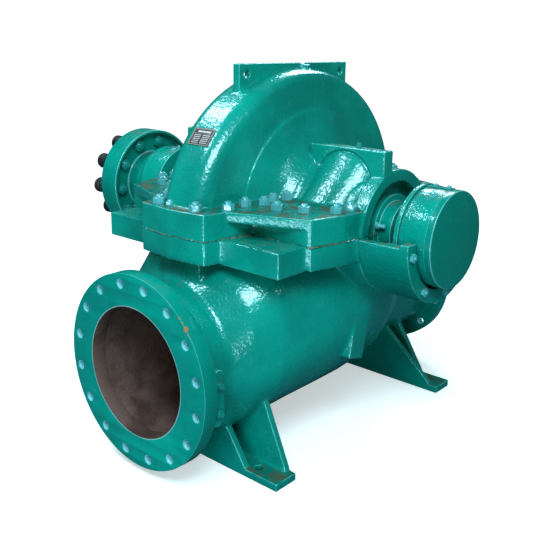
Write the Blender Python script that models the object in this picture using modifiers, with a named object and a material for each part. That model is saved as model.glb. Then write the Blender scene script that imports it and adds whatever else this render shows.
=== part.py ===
# A double suction split case pump on its own feet, with its half of a pin coupling.
# Metres, +Z up. X runs along the shaft, with the coupling at the -X end. The suction flange faces -Y
# and the discharge flange faces +Y. Z = 0 is the plane under the feet.

import math

import bmesh
import bpy
from mathutils import Matrix, Vector

# Driving dimensions
SHAFT_HEIGHT = 0.6245
NOZZLE_HEIGHT = 0.2825
FACE_REACH = 0.610
SPLIT_GAP = 0.0003

SUCTION_FLANGE_R = 0.2625
SUCTION_FLANGE_T = 0.042
SUCTION_BORE_R = 0.175
SUCTION_NECK_R = 0.212
SUCTION_PITCH_R = 0.235
SUCTION_HOLES = 16
DISCHARGE_FLANGE_R = 0.230
DISCHARGE_FLANGE_T = 0.032
DISCHARGE_BORE_R = 0.150
DISCHARGE_NECK_R = 0.178
DISCHARGE_PITCH_R = 0.205
DISCHARGE_HOLES = 12
FLANGE_HOLE_R = 0.013
GAUGE_Y = -0.552
GAUGE_FACE_X = 0.250

UPPER_FLANGE_T = 0.070
LOWER_FLANGE_T = 0.0625
LEDGE_T = 0.027
CASING_END = 0.378
FLANGE_END = 0.3755

VOLUTE_REACH = 0.4545
VOLUTE_SHIFT = -0.0025
VOLUTE_RISE = 0.412
VOLUTE_DROP = 0.385
VOLUTE_BAND = 0.041
VOLUTE_SIDE = 0.078

DOME_FOOT_R = 0.290
BOX_R = 0.163
BOX_RECESS_R = 0.130
BOX_RECESS_DEPTH = 0.036
SHAFT_BORE_R = 0.056

ARCH_PLATE_FRONT = -0.071
ARCH_PLATE_T = 0.040
ARCH_PLATE_TOP = SHAFT_HEIGHT + 0.2160
ARCH_INNER_X = 0.130
HUMP_X = 0.246
HUMP_Z = SHAFT_HEIGHT + 0.1125
HUMP_R = 0.0885
ARCH_RIM_R = 0.0955
ARCH_RIM_DEPTH = 0.007
HUMP_LEAN = (-0.030, -0.114, -0.138)

LUG_REACH = 0.2415
LUG_SHIFT = 0.0045
LUG_TOP = 1.054
LUG_T = 0.023
LUG_WEB_Y = 0.028
LUG_HOLE_Y = 0.210
LUG_HOLE_Z = 1.025
LUG_HOLE_R = 0.012

# For each foot: half length, near edge and far edge of its sole.
FOOT_SOLES = {-1: (0.340, 0.358, 0.437), 1: (0.350, 0.350, 0.430)}
FOOT_T = 0.022
FOOT_WEB_T = 0.020
# For each foot: base half width, top half width and top height of its inner and outer web.
FOOT_WEBS = {
    -1: ((0.318, 0.196, 0.300), (0.225, 0.120, 0.180)),
    1: ((0.316, 0.110, 0.205), (0.250, 0.118, 0.240)),
}

BRACKET_R = 0.176
BRACKET_END = 0.526
BRACKET_POCKET_R = 0.148
BRACKET_SEAT = 0.446
BRACKET_LIP = 0.010

HOUSING_R = 0.130
HOUSING_RING_R = 0.136
HOUSING_START = 0.455
HOUSING_END = 0.543
COVER_END = 0.561

SHAFT_R = 0.038
SLEEVE_R = 0.050
RUNNING_GAP = 0.0015
BEARING_GAP = 0.0003
COUPLING_R = 0.178
COUPLING_NEAR = 0.619
COUPLING_FAR = 0.697
COUPLING_RECESS_R = 0.169
COUPLING_WEB = 0.646
COUPLING_HUB_R = 0.101
COUPLING_HUB_END = 0.567
PIN_COUNT = 10
PIN_PITCH_R = 0.138
PIN_R = 0.012
PIN_NUT_R = 0.020
PIN_NUT_T = 0.015
BUSH_R = 0.026
BUSH_END = 0.761

ROUND = 48
SMALL_ROUND = 16

TEAL = (0.0, 0.28, 0.24, 1.0)
DARK = (0.02, 0.018, 0.016, 1.0)
STEEL = (0.45, 0.45, 0.44, 1.0)
BRASS = (0.55, 0.40, 0.20, 1.0)


def clear_scene():
    for obj in list(bpy.data.objects):
        bpy.data.objects.remove(obj)


def make_collection(name):
    collection = bpy.data.collections.new(name)
    bpy.context.scene.collection.children.link(collection)
    return collection


clear_scene()
parts = make_collection("split_case_pump")
helpers = make_collection("cutters_and_blanks")

origin = bpy.data.objects.new("pump_origin", None)
parts.objects.link(origin)
origin.location.x = (BUSH_END - COVER_END) / 2


def make_material(name, colour, roughness, metallic):
    material = bpy.data.materials.new(name)
    material.use_nodes = True
    shader = material.node_tree.nodes["Principled BSDF"]
    shader.inputs["Base Color"].default_value = colour
    shader.inputs["Roughness"].default_value = roughness
    shader.inputs["Metallic"].default_value = metallic
    return material


enamel = make_material("teal_enamel", TEAL, 0.3, 0.0)
rubber = make_material("black_rubber", DARK, 0.7, 0.0)
steel = make_material("machined_steel", STEEL, 0.35, 1.0)
plate_metal = make_material("plate_metal", BRASS, 0.4, 0.8)


def place(obj, helper=False):
    (helpers if helper else parts).objects.link(obj)
    obj.parent = origin
    if helper:
        obj.hide_render = True
        obj.display_type = "WIRE"
    return obj


def finish(obj, material):
    obj.data.materials.clear()
    obj.data.materials.append(material)
    obj.data.shade_smooth()
    obj.data.set_sharp_from_angle(angle=math.radians(32))
    return obj


def box(name, low, high, helper=True):
    mesh = bpy.data.meshes.new(name)
    shape = bmesh.new()
    bmesh.ops.create_cube(shape, size=1.0)
    size = [b - a for a, b in zip(low, high)]
    middle = [(a + b) / 2 for a, b in zip(low, high)]
    bmesh.ops.transform(shape, matrix=Matrix.LocRotScale(Vector(middle), None, Vector(size)), verts=shape.verts)
    shape.to_mesh(mesh)
    shape.free()
    return place(bpy.data.objects.new(name, mesh), helper)


def rod(name, start, end, radius, sides=ROUND, end_radius=None, helper=True):
    # A cylinder or a cone between two points.
    start, end = Vector(start), Vector(end)
    mesh = bpy.data.meshes.new(name)
    shape = bmesh.new()
    last = radius if end_radius is None else end_radius
    length = (end - start).length
    bmesh.ops.create_cone(shape, cap_ends=True, segments=sides, radius1=radius, radius2=last, depth=length)
    bmesh.ops.rotate(shape, matrix=Matrix.Rotation(math.pi / sides, 3, "Z"), verts=shape.verts)
    turn = (end - start).to_track_quat("Z", "Y")
    bmesh.ops.transform(shape, matrix=Matrix.LocRotScale((start + end) / 2, turn, None), verts=shape.verts)
    shape.to_mesh(mesh)
    shape.free()
    return place(bpy.data.objects.new(name, mesh), helper)


def turned(name, profile, side=1, sides=ROUND, helper=True):
    # profile: (distance along the shaft, radius) from the outer end inwards, turned about the shaft.
    mesh = bpy.data.meshes.new(name)
    points = [(radius, 0.0, along) for along, radius in profile]
    closed = profile[0][1] > 0
    edges = [(i, i + 1) for i in range(len(points) - 1)]
    if closed:
        edges.append((len(points) - 1, 0))
    mesh.from_pydata(points, edges, [])
    obj = place(bpy.data.objects.new(name, mesh), helper)
    obj.location.z = SHAFT_HEIGHT
    obj.rotation_euler.y = math.radians(90 * side)
    screw = obj.modifiers.new("turn", "SCREW")
    screw.steps = screw.render_steps = sides
    screw.use_merge_vertices = True
    screw.merge_threshold = 0.0001
    screw.use_smooth_shade = True
    return obj


def turned_rod(name, near, far, radius, side, helper=True):
    return turned(name, [(far, 0.0), (far, radius), (near, radius), (near, 0.0)], side, helper=helper)


def ring_profile(near, far, inner, outer):
    return [(far, outer), (near, outer), (near, inner), (far, inner)]


def slab(name, outline, low, high, facing="Z", helper=True):
    # A flat outline thickened from low to high along Z, X or Y. An X outline holds (y, z), a Y outline (x, z).
    curve = bpy.data.curves.new(name, "CURVE")
    curve.dimensions = "2D"
    curve.fill_mode = "BOTH"
    curve.extrude = (high - low) / 2
    line = curve.splines.new("POLY")
    line.points.add(len(outline) - 1)
    for point, (u, v) in zip(line.points, outline):
        point.co = (u, v, 0, 1)
    line.use_cyclic_u = True
    flat = bpy.data.objects.new(name + "_outline", curve)
    helpers.objects.link(flat)
    graph = bpy.context.evaluated_depsgraph_get()
    mesh = bpy.data.meshes.new_from_object(flat.evaluated_get(graph))
    bpy.data.objects.remove(flat)
    shape = bmesh.new()
    shape.from_mesh(mesh)
    bmesh.ops.remove_doubles(shape, verts=shape.verts, dist=0.00001)
    turn = {
        "Z": Matrix.Identity(4),
        "X": Matrix(((0, 0, 1, 0), (1, 0, 0, 0), (0, 1, 0, 0), (0, 0, 0, 1))),
        "Y": Matrix(((1, 0, 0, 0), (0, 0, -1, 0), (0, 1, 0, 0), (0, 0, 0, 1))),
    }[facing]
    shift = {"Z": (0, 0, 1), "X": (1, 0, 0), "Y": (0, 1, 0)}[facing]
    bmesh.ops.transform(shape, matrix=turn, verts=shape.verts)
    bmesh.ops.translate(shape, vec=Vector(shift) * (low + high) / 2, verts=shape.verts)
    bmesh.ops.recalc_face_normals(shape, faces=shape.faces)
    shape.to_mesh(mesh)
    shape.free()
    return place(bpy.data.objects.new(name, mesh), helper)


def loft(name, rings, helper=True):
    # Skins a row of closed rings with equal point counts and caps both ends.
    mesh = bpy.data.meshes.new(name)
    shape = bmesh.new()
    rows = [[shape.verts.new(point) for point in ring] for ring in rings]
    count = len(rows[0])
    for near, far in zip(rows, rows[1:]):
        for i in range(count):
            j = (i + 1) % count
            shape.faces.new((near[i], near[j], far[j], far[i]))
    shape.faces.new(rows[0])
    shape.faces.new(rows[-1])
    bmesh.ops.triangulate(shape, faces=shape.faces)
    bmesh.ops.recalc_face_normals(shape, faces=shape.faces)
    shape.to_mesh(mesh)
    shape.free()
    return place(bpy.data.objects.new(name, mesh), helper)


def oval_ring(y, z, half_width, rise, drop, power=2.0, count=56):
    # An oval whose upper half can be taller and squarer than its lower half.
    points = []
    for i in range(count):
        a = 2 * math.pi * (i + 0.5) / count
        c, s = math.cos(a), math.sin(a)
        bend = power if s > 0 else 2.0
        u = math.copysign(abs(c) ** (2 / bend), c) * half_width
        v = math.copysign(abs(s) ** (2 / bend), s) * (rise if s > 0 else drop)
        points.append((u, y, z + v))
    return points


def volute_ring(x, reach, rise, count=88):
    points = []
    for i in range(count):
        a = 2 * math.pi * i / count
        points.append((x, VOLUTE_SHIFT + reach * math.cos(a), SHAFT_HEIGHT + rise * math.sin(a)))
    return points


def combine(target, tools, operation="UNION"):
    for tool in tools:
        step = target.modifiers.new(tool.name, "BOOLEAN")
        step.operation = operation
        step.solver = "EXACT"
        step.object = tool
    return target


def arc(centre_u, centre_v, radius, first, last, steps):
    points = []
    for i in range(steps + 1):
        a = math.radians(first + (last - first) * i / steps)
        points.append((centre_u + radius * math.cos(a), centre_v + radius * math.sin(a)))
    return points


# Outline of the split flanges, seen from above, from the right end round the suction side to the left end.
SPLIT_FRONT = [
    (FLANGE_END, 0.0),
    (0.372, -0.155),
    (0.366, -0.222),
    (0.340, -0.323),
    (0.130, -0.405),
    (0.119, -0.474),
    (0.0, -0.488),
    (-0.119, -0.474),
    (-0.130, -0.405),
    (-0.340, -0.323),
    (-0.366, -0.222),
    (-0.372, -0.155),
    (-FLANGE_END, 0.0),
]
SPLIT_BACK = [(x, -y) for x, y in reversed(SPLIT_FRONT[1:-1])]
LEDGE_FACE_Y = -0.327
LEDGE_LEFT = 0.150


def volute_body(name, rise, shoulder):
    # The spiral casing: a flat rim band with rounded shoulders on both sides.
    half = [(x, VOLUTE_REACH - drop, rise - drop * 0.5) for x, drop in shoulder]
    stations = [(-x, reach, up) for x, reach, up in reversed(half)] + half
    return loft(name, [volute_ring(x, reach, up) for x, reach, up in stations])


def dome_profile():
    # A flared throat that ends in a plain ring at the outer face.
    return [
        (CASING_END, 0.0),
        (CASING_END, BOX_R),
        (0.338, BOX_R),
        (0.336, BOX_R - 0.006),
        (0.250, 0.160),
        (0.200, 0.163),
        (0.160, 0.172),
        (0.149, 0.177),
        (0.146, 0.184),
        (0.136, 0.189),
        (0.118, 0.205),
        (0.104, 0.226),
        (0.094, 0.250),
        (0.088, 0.274),
        (0.084, DOME_FOOT_R + 0.010),
        (0.040, DOME_FOOT_R + 0.010),
        (0.040, 0.0),
    ]


def upper_casing():
    bottom = SHAFT_HEIGHT + SPLIT_GAP
    top = SHAFT_HEIGHT + UPPER_FLANGE_T
    casing = slab("upper_casing", SPLIT_FRONT + SPLIT_BACK, bottom, top, helper=False)
    ledge_void = [
        (0.1285, -0.408),
        (LEDGE_LEFT, LEDGE_FACE_Y),
        (0.3445, LEDGE_FACE_Y),
        (0.3445, -0.450),
        (0.1285, -0.450),
    ]
    voids = []
    for side in (1, -1):
        outline = [(x * side, y) for x, y in ledge_void]
        voids.append(slab("ledge_void", outline, bottom - 0.02, top - LEDGE_T))
    combine(casing, voids, "DIFFERENCE")

    shoulder = [(VOLUTE_BAND, 0.0), (0.055, 0.006), (0.066, 0.015), (0.073, 0.026), (VOLUTE_SIDE, 0.045)]
    adds = [volute_body("volute_upper", VOLUTE_RISE, shoulder)]
    for side in (1, -1):
        adds.append(turned("dome", dome_profile(), side))
        adds.append(arch_plate(side))
    lug_low = SHAFT_HEIGHT + VOLUTE_RISE * math.sqrt(1 - (LUG_REACH / VOLUTE_REACH) ** 2) - 0.012
    near, far = LUG_SHIFT - LUG_REACH, LUG_SHIFT + LUG_REACH
    lug = [(near, lug_low), (far, lug_low), (far, LUG_TOP), (near, LUG_TOP)]
    adds.append(slab("lug_plate", lug, -LUG_T / 2, LUG_T / 2, "X"))
    web_low = (-VOLUTE_BAND + 0.003, LUG_WEB_Y - 0.008, SHAFT_HEIGHT + VOLUTE_RISE - 0.030)
    adds.append(box("lug_web", web_low, (VOLUTE_BAND - 0.003, LUG_WEB_Y + 0.008, LUG_TOP - 0.004)))
    combine(casing, adds)
    rim = ((ARCH_RIM_DEPTH, 0.0), (0.0, 0.0), (0.0, 0.12))
    hump = ((0.026, 0.0), (0.0, 0.0), (0.0, 1.25))
    tools = [arch_barrel("arch_rim", side, ARCH_RIM_R, rim, top + 0.002) for side in (1, -1)]
    combine(casing, tools, "DIFFERENCE")
    combine(casing, [arch_barrel("arch_hump", side, HUMP_R, hump, top - 0.030) for side in (1, -1)])

    cuts = [box("below_split", (-0.6, -0.6, 0.1), (0.6, 0.6, bottom))]
    cuts.append(rod("shaft_way", (-0.6, 0, SHAFT_HEIGHT), (0.6, 0, SHAFT_HEIGHT), SHAFT_BORE_R))
    for side in (1, -1):
        near, far = side * (CASING_END - BOX_RECESS_DEPTH), side * (CASING_END + 0.02)
        cuts.append(rod("box_recess", (near, 0, SHAFT_HEIGHT), (far, 0, SHAFT_HEIGHT), BOX_RECESS_R))
        y = LUG_SHIFT + side * LUG_HOLE_Y
        cuts.append(rod("lug_hole", (-0.05, y, LUG_HOLE_Z), (0.05, y, LUG_HOLE_Z), LUG_HOLE_R, SMALL_ROUND))
    combine(casing, cuts, "DIFFERENCE")
    return finish(casing, enamel)


def arch_plate(side):
    # The upright wall in front of each suction dome.
    low = (side * ARCH_INNER_X, ARCH_PLATE_FRONT, SHAFT_HEIGHT + 0.10)
    high = (side * (CASING_END - 0.0015), ARCH_PLATE_FRONT + ARCH_PLATE_T, ARCH_PLATE_TOP)
    return box("arch_plate", [min(a, b) for a, b in zip(low, high)], [max(a, b) for a, b in zip(low, high)])


def arch_barrel(name, side, size, stations, foot_z):
    # A half cylinder that leans out of the arch down to the split flange, as the inlet roof or the tool
    # that leaves the arch its rim.
    rings = []
    for back, share in stations:
        ring = []
        radius = size * (1 - 0.06 * share)
        middle = [u + share * v for u, v in zip((HUMP_X, ARCH_PLATE_FRONT + back, HUMP_Z), HUMP_LEAN)]
        for i in range(19):
            a = math.pi * (-0.06 + 1.12 * i / 18)
            x, z = middle[0] + radius * math.cos(a), middle[2] + radius * math.sin(a)
            ring.append((side * x, middle[1], z))
        for x in (middle[0] - radius * 0.8, middle[0] + radius * 0.8):
            ring.append((side * x, middle[1], min(foot_z, middle[2] - 0.06)))
        rings.append(ring)
    return loft(name, rings)


def flange_disc(name, side, radius, thickness):
    y = side * FACE_REACH
    return rod(name, (0, y, NOZZLE_HEIGHT), (0, y - side * thickness, NOZZLE_HEIGHT), radius, 64)


def flange_holes(side, pitch_r, count):
    holes = []
    for i in range(count):
        a = 2 * math.pi * (i + 0.5) / count
        x, z = pitch_r * math.cos(a), NOZZLE_HEIGHT + pitch_r * math.sin(a)
        start, end = (x, side * (FACE_REACH + 0.02), z), (x, side * (FACE_REACH - 0.06), z)
        holes.append(rod("flange_hole", start, end, FLANGE_HOLE_R, SMALL_ROUND))
    return holes


def foot(side):
    # One cross foot: a sole plate with two raked webs that run up into the casing.
    reach, near, far = FOOT_SOLES[side]
    near, far = near * side, far * side
    pieces = [box("sole", (-reach, min(near, far), 0), (reach, max(near, far), FOOT_T))]
    for web, shape in zip((near, far - side * FOOT_WEB_T), FOOT_WEBS[side]):
        base_x, top_x, top_z = shape
        outline = [(-base_x, FOOT_T - 0.01), (base_x, FOOT_T - 0.01), (base_x, FOOT_T + 0.008), (top_x, top_z)]
        outline += [(-top_x, top_z), (-base_x, FOOT_T + 0.008)]
        low, high = sorted((web, web + side * FOOT_WEB_T))
        pieces.append(slab("foot_web", outline, low + 0.0005, high - 0.0005, "Y"))
    return pieces


def suction_rings():
    # Stations from the suction flange to the back of the suction chamber: y, centre height, half width,
    # rise, drop and squareness of the upper half.
    neck = SUCTION_NECK_R
    stations = [
        (-0.600, NOZZLE_HEIGHT, neck, neck, neck, 2.0),
        (-0.470, NOZZLE_HEIGHT, neck, neck, neck, 2.0),
        (-0.415, 0.289, 0.250, 0.245, 0.224, 3.0),
        (-0.345, 0.320, 0.280, 0.262, 0.243, 3.2),
        (-0.240, 0.365, 0.302, 0.244, 0.2835, 2.9),
        (-0.140, 0.395, 0.325, 0.236, 0.308, 2.6),
        (-0.040, 0.418, 0.343, 0.232, 0.324, 2.5),
        (0.060, 0.436, 0.346, 0.222, 0.333, 2.4),
        (0.120, 0.449, 0.330, 0.206, 0.325, 2.3),
        (0.165, 0.463, 0.300, 0.190, 0.280, 2.3),
        (0.205, 0.480, 0.245, 0.152, 0.200, 2.2),
    ]
    return [oval_ring(*station) for station in stations]


def side_pad(side):
    # A wedge on the flank of the suction chamber, flat underneath and run out at the top.
    low = [(0.240, -0.120, 0.262), (0.328, -0.120, 0.263), (0.328, -0.060, 0.246), (0.318, -0.044, 0.246)]
    high = [(0.240, -0.098, 0.402), (0.3318, -0.098, 0.402), (0.3412, -0.040, 0.402), (0.338, -0.030, 0.402)]
    low.append((0.240, -0.044, 0.246))
    high.append((0.240, -0.030, 0.402))
    return loft("side_pad", [[(side * x, y, z) for x, y, z in ring] for ring in (low, high)])


def lower_casing():
    casing = loft("lower_casing", suction_rings(), helper=False)
    adds = [flange_disc("suction_flange", -1, SUCTION_FLANGE_R, SUCTION_FLANGE_T)]
    adds.append(slab("gauge_boss", gauge_boss_outline(), 0.150, GAUGE_FACE_X, "X"))
    combine(casing, adds)

    split = SHAFT_HEIGHT
    shoulder = [(VOLUTE_BAND, 0.0), (0.056, 0.010), (0.066, 0.030), (0.070, 0.060)]
    adds = [volute_body("volute_lower", VOLUTE_DROP, shoulder)]
    inset = [(0.340, -0.323), (0.1295, LEDGE_FACE_Y), (0.1295, -0.405)]
    mirrored = [(-x, y) for x, y in reversed(inset)]
    outline = SPLIT_FRONT[:3] + inset + SPLIT_FRONT[5:8] + mirrored + SPLIT_FRONT[10:] + SPLIT_BACK
    adds.append(slab("lower_flange", outline, split - LOWER_FLANGE_T, split + 0.005))
    for side in (1, -1):
        low_x, high_x = sorted((side * 0.120, side * 0.322))
        adds.append(box("ledge_pad", (low_x, -0.424, split - 0.066), (high_x, -0.300, split + 0.005)))
        adds.append(rod("box_lower", (side * 0.047, 0, split), (side * CASING_END, 0, split), BRACKET_R))
        adds.append(side_pad(side))
        adds += foot(side)
    neck_start, neck_end = (0, 0.10, NOZZLE_HEIGHT), (0, FACE_REACH - 0.01, NOZZLE_HEIGHT)
    adds.append(rod("discharge_neck", neck_start, neck_end, DISCHARGE_NECK_R))
    adds.append(flange_disc("discharge_flange", 1, DISCHARGE_FLANGE_R, DISCHARGE_FLANGE_T))
    adds.append(box("neck_block", (-0.073, -0.447, 0.470), (0.073, -0.300, split - 0.050)))
    combine(casing, adds)

    bore = SUCTION_BORE_R
    depths = ((-FACE_REACH - 0.02, bore), (-0.300, bore), (-0.270, 0.168), (-0.250, 0.140), (-0.235, 0.090))
    cavity = [oval_ring(y, NOZZLE_HEIGHT, r, r, r) for y, r in depths]
    cuts = [box("above_split", (-0.6, -0.6, split), (0.6, 0.6, 1.2)), loft("suction_way", cavity)]
    cuts.append(rod("shaft_way_low", (-0.6, 0, split), (0.6, 0, split), SHAFT_BORE_R))
    for side in (1, -1):
        near, far = side * (CASING_END - BOX_RECESS_DEPTH), side * (CASING_END + 0.02)
        cuts.append(rod("box_recess_low", (near, 0, split), (far, 0, split), BOX_RECESS_R))
    bore_start, bore_end = (0, 0.30, NOZZLE_HEIGHT), (0, FACE_REACH + 0.02, NOZZLE_HEIGHT)
    cuts.append(rod("discharge_bore", bore_start, bore_end, DISCHARGE_BORE_R))
    cuts += flange_holes(-1, SUCTION_PITCH_R, SUCTION_HOLES)
    cuts += flange_holes(1, DISCHARGE_PITCH_R, DISCHARGE_HOLES)
    for y in (-0.404, 0.396):
        for x in (-0.250, 0.250):
            cuts.append(rod("foot_hole", (x, y, -0.02), (x, y, 0.05), 0.012, SMALL_ROUND))
    combine(casing, cuts, "DIFFERENCE")
    return finish(casing, enamel)


def gauge_boss_outline():
    # A flat upright pad with round ends, beside the suction flange.
    y, half, low, high = GAUGE_Y, 0.021, NOZZLE_HEIGHT - 0.065, NOZZLE_HEIGHT + 0.044
    return arc(y, high, half, 0, 180, 8) + arc(y, low, half, 180, 360, 8)


def bearing_bracket(name, side):
    # A half round trough, bored out for the bearing housing, with a raised lip at its outer end.
    inner = CASING_END + SPLIT_GAP
    top = SHAFT_HEIGHT
    bracket = turned_rod(name, inner, BRACKET_END, BRACKET_R, side, helper=False)
    pocket = turned_rod("pocket", 0.3, BRACKET_SEAT, BRACKET_POCKET_R, side)
    seat = turned_rod("seat", 0.25, 0.6, HOUSING_RING_R + SPLIT_GAP, side)
    lip = side * (BRACKET_END - 0.024)
    above = box("above_trough", sorted_low(side * 0.2, lip, top), sorted_high(side * 0.2, lip, 1.0))
    over = box("above_lip", (min(side * 0.2, side * 0.6), -0.3, top + BRACKET_LIP), (max(side * 0.2, side * 0.6), 0.3, 1.0))
    combine(bracket, [pocket, seat, above, over], "DIFFERENCE")
    return finish(bracket, enamel)


def sorted_low(a, b, z):
    return (min(a, b), -0.3, z)


def sorted_high(a, b, z):
    return (max(a, b), 0.3, z)


def bearing_housing(name, side):
    bore = SHAFT_R + BEARING_GAP
    profile = [
        (HOUSING_END, HOUSING_R),
        (HOUSING_START + 0.016, HOUSING_R),
        (HOUSING_START + 0.016, HOUSING_R - 0.004),
        (HOUSING_START + 0.012, HOUSING_R - 0.004),
        (HOUSING_START + 0.012, HOUSING_RING_R),
        (HOUSING_START, HOUSING_RING_R),
        (HOUSING_START, bore),
        (HOUSING_END, bore),
    ]
    return finish(turned(name, profile, side, helper=False), enamel)


def end_cover(name, side, hole):
    near = HOUSING_END + SPLIT_GAP
    edge = 0.004
    profile = [(COVER_END, hole), (COVER_END, HOUSING_R - edge), (COVER_END - edge, HOUSING_R), (near, HOUSING_R)]
    profile += [(near, hole)] if hole else [(near, 0.0)]
    return finish(turned(name, profile, side, helper=False), enamel)


def gland(name, side):
    inner = SLEEVE_R + RUNNING_GAP
    flange_near = CASING_END - BOX_RECESS_DEPTH + SPLIT_GAP
    flange_far, nose = CASING_END - 0.008, CASING_END + 0.030
    profile = [
        (nose, 0.076),
        (flange_far, 0.076),
        (flange_far, 0.094),
        (flange_near, 0.094),
        (flange_near, inner),
        (nose, inner),
    ]
    return finish(turned(name, profile, side, helper=False), enamel)


def shaft():
    start, end = (-COUPLING_FAR - 0.008, 0, SHAFT_HEIGHT), (0.530, 0, SHAFT_HEIGHT)
    body = rod("shaft", start, end, SHAFT_R, helper=False)
    return finish(body, steel)


def sleeve(name, side):
    profile = ring_profile(0.340, CASING_END + 0.055, SHAFT_R + SPLIT_GAP, SLEEVE_R)
    return finish(turned(name, profile, side, 32, helper=False), steel)


def coupling_half():
    bore = SHAFT_R + SPLIT_GAP
    profile = [
        (COUPLING_FAR, bore),
        (COUPLING_FAR, COUPLING_R - 0.003),
        (COUPLING_FAR - 0.003, COUPLING_R),
        (COUPLING_NEAR, COUPLING_R),
        (COUPLING_NEAR, COUPLING_RECESS_R),
        (COUPLING_WEB, COUPLING_RECESS_R),
        (COUPLING_WEB, COUPLING_HUB_R),
        (COUPLING_HUB_END, COUPLING_HUB_R),
        (COUPLING_HUB_END, bore),
    ]
    half = turned("coupling_half", profile, -1, helper=False)
    holes = []
    for y, z in pin_places():
        holes.append(rod("pin_hole", (-0.55, y, z), (-0.75, y, z), PIN_R + SPLIT_GAP, 12))
    combine(half, holes, "DIFFERENCE")
    return finish(half, enamel)


def pin_places():
    places = []
    for i in range(PIN_COUNT):
        a = math.radians(78 + 360 / PIN_COUNT * i)
        places.append((PIN_PITCH_R * math.cos(a), SHAFT_HEIGHT + PIN_PITCH_R * math.sin(a)))
    return places


def coupling_pin(index, y, z):
    name = "coupling_pin_%02d" % index
    bush = rod(name, (-COUPLING_FAR - SPLIT_GAP, y, z), (-BUSH_END, y, z), BUSH_R, 20, helper=False)
    shank = rod("pin_shank", (-COUPLING_FAR - 0.02, y, z), (-COUPLING_WEB + PIN_NUT_T + 0.006, y, z), PIN_R, 12)
    nut_low = -COUPLING_WEB + SPLIT_GAP
    nut = rod("pin_nut", (nut_low, y, z), (nut_low + PIN_NUT_T, y, z), PIN_NUT_R, 6)
    combine(bush, [shank, nut])
    return finish(bush, rubber)


def nameplate():
    # A thin plate bent round the rim band.
    rings = []
    for x in (-0.034, 0.0405):
        outer = rim_arc(x, 0.0018)
        inner = rim_arc(x, SPLIT_GAP)
        rings.append(outer + inner[::-1])
    return finish(loft("nameplate", rings, helper=False), plate_metal)


def rim_arc(x, lift):
    points = []
    for i in range(5):
        a = math.radians(147.1 - 6.9 * i / 4)
        y = VOLUTE_SHIFT + (VOLUTE_REACH + lift) * math.cos(a)
        z = SHAFT_HEIGHT + (VOLUTE_RISE + lift) * math.sin(a)
        points.append((x, y, z))
    return points


def plug(name, base, tip, radius, head_radius):
    stem = rod(name, base, tip, head_radius, 6, helper=False)
    collar = Vector(base) + (Vector(tip) - Vector(base)) * 0.45
    combine(stem, [rod(name + "_collar", base, collar, radius, SMALL_ROUND)])
    return finish(stem, enamel)


def plugs():
    x = GAUGE_FACE_X + SPLIT_GAP
    for index, z in enumerate((NOZZLE_HEIGHT + 0.026, NOZZLE_HEIGHT - 0.049), 1):
        plug("gauge_plug_%d" % index, (x, GAUGE_Y, z), (x + 0.012, GAUGE_Y, z), 0.011, 0.008)
    z = ARCH_PLATE_TOP + SPLIT_GAP
    y = ARCH_PLATE_FRONT + ARCH_PLATE_T / 2
    plug("vent_plug", (0.2805, y, z), (0.2805, y, z + 0.013), 0.008, 0.0065)


def build():
    lower_casing()
    upper_casing()
    for tag, side in (("free_end", 1), ("drive_end", -1)):
        bearing_bracket("bearing_bracket_" + tag, side)
        bearing_housing("bearing_housing_" + tag, side)
        gland("gland_" + tag, side)
        sleeve("shaft_sleeve_" + tag, side)
    end_cover("end_cover_free_end", 1, 0.0)
    end_cover("end_cover_drive_end", -1, SHAFT_R + RUNNING_GAP)
    shaft()
    coupling_half()
    for index, (y, z) in enumerate(pin_places(), 1):
        coupling_pin(index, y, z)
    nameplate()
    plugs()


build()
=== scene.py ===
import math

import bmesh
import bpy
import numpy as np
from mathutils import Matrix, Vector


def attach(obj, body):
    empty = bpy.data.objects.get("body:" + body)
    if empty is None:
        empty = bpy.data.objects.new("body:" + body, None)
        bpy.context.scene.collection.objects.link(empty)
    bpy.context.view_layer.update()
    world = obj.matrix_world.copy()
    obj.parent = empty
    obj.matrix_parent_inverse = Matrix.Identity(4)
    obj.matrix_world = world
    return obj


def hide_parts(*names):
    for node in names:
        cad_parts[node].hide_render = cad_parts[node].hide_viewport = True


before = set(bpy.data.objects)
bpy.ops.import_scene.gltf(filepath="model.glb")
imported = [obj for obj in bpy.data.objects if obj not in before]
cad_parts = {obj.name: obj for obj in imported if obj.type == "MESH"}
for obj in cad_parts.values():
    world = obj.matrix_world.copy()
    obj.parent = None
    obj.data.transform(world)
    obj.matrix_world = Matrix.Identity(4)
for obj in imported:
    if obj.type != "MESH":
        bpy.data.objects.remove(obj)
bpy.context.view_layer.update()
print("frame loaded")

# Measures of the pump in metres, in a frame whose X = 0 is the middle of the casing.
pump = {
    "shift": 0.100,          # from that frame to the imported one, along X
    "shaftHeight": 0.6245,
    "nozzleHeight": 0.2825,
    "faceReach": 0.610,      # from the shaft to the face of a nozzle
    "flangeTop": 0.6945,
    "suctionBore": 0.175,    # radius
    "dischargeBore": 0.150,
    "splitGap": 0.0003,      # left between pieces that lie on each other
}
shift, shaftHeight, splitGap = pump["shift"], pump["shaftHeight"], pump["splitGap"]
nozzleHeight, faceReach, flangeTop = pump["nozzleHeight"], pump["faceReach"], pump["flangeTop"]


def newObject(name, data):
    made = bpy.data.objects.new(name, data)
    bpy.context.scene.collection.objects.link(made)
    return made


def feed(tree, node, inputs):
    # each named or numbered input gets a fixed value, or the socket that drives it
    for key, value in inputs.items():
        if isinstance(value, bpy.types.NodeSocket):
            tree.links.new(value, node.inputs[key])
        else:
            node.inputs[key].default_value = value


def addNode(tree, kind, inputs=None, **values):
    made = tree.nodes.new(kind)
    for key, value in values.items():
        setattr(made, key, value)
    feed(tree, made, inputs or {})
    return made


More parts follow.
